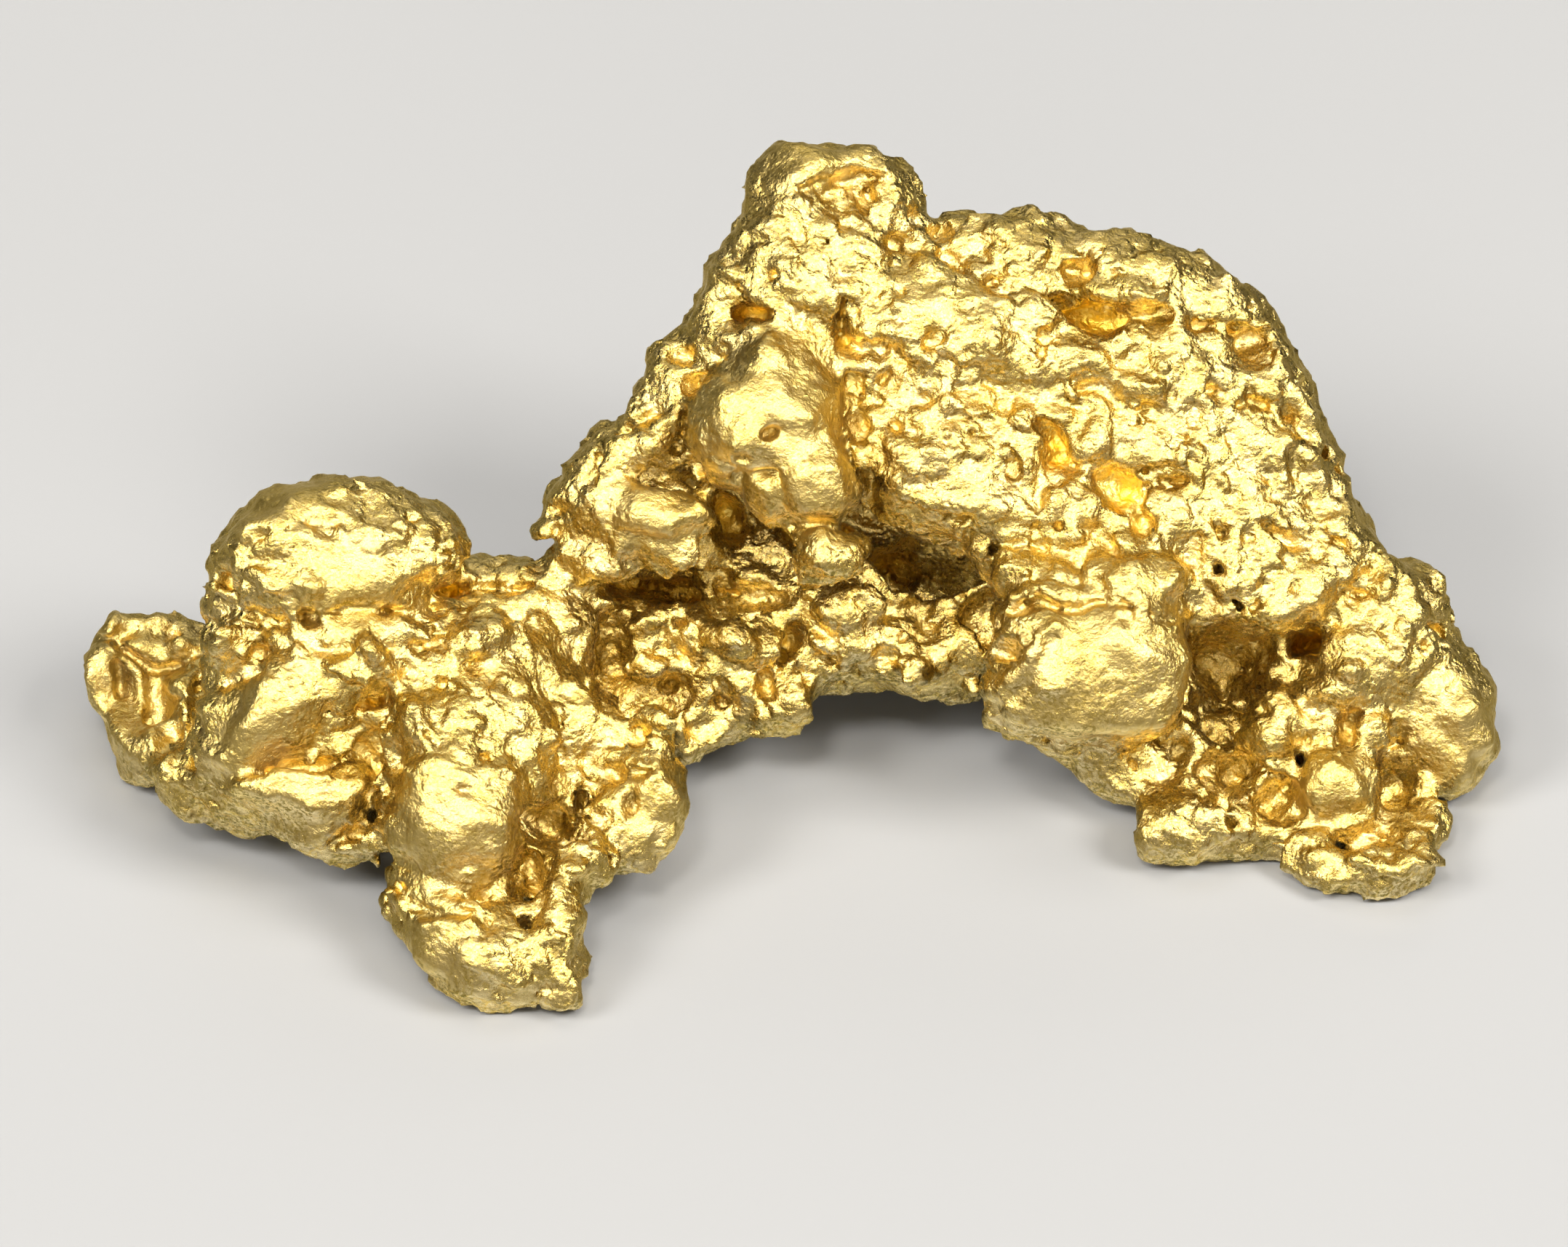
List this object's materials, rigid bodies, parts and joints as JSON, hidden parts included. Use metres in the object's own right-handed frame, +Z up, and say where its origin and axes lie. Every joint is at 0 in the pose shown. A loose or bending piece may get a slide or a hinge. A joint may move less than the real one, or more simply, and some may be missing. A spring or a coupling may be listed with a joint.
{
  "type": "gold nugget",
  "caption": "Natural gold nugget: a pitted, lumpy arch of native gold that rests on its feet, for display or as a mineral specimen.",
  "frame": {"origin": "centre of the footprint's box, on the surface that the nugget rests on", "axes": "+X along the nugget towards its long foot, +Y away from its face, +Z up"},
  "size_m": [0.0238, 0.0132, 0.0092],
  "materials": {
    "gold": "native gold, satin and water-worn on the lumps, rough and orange-brown in the hollows"
  },
  "bodies": {
    "root": {"nugget": "gold"}
  },
  "joints": []
}
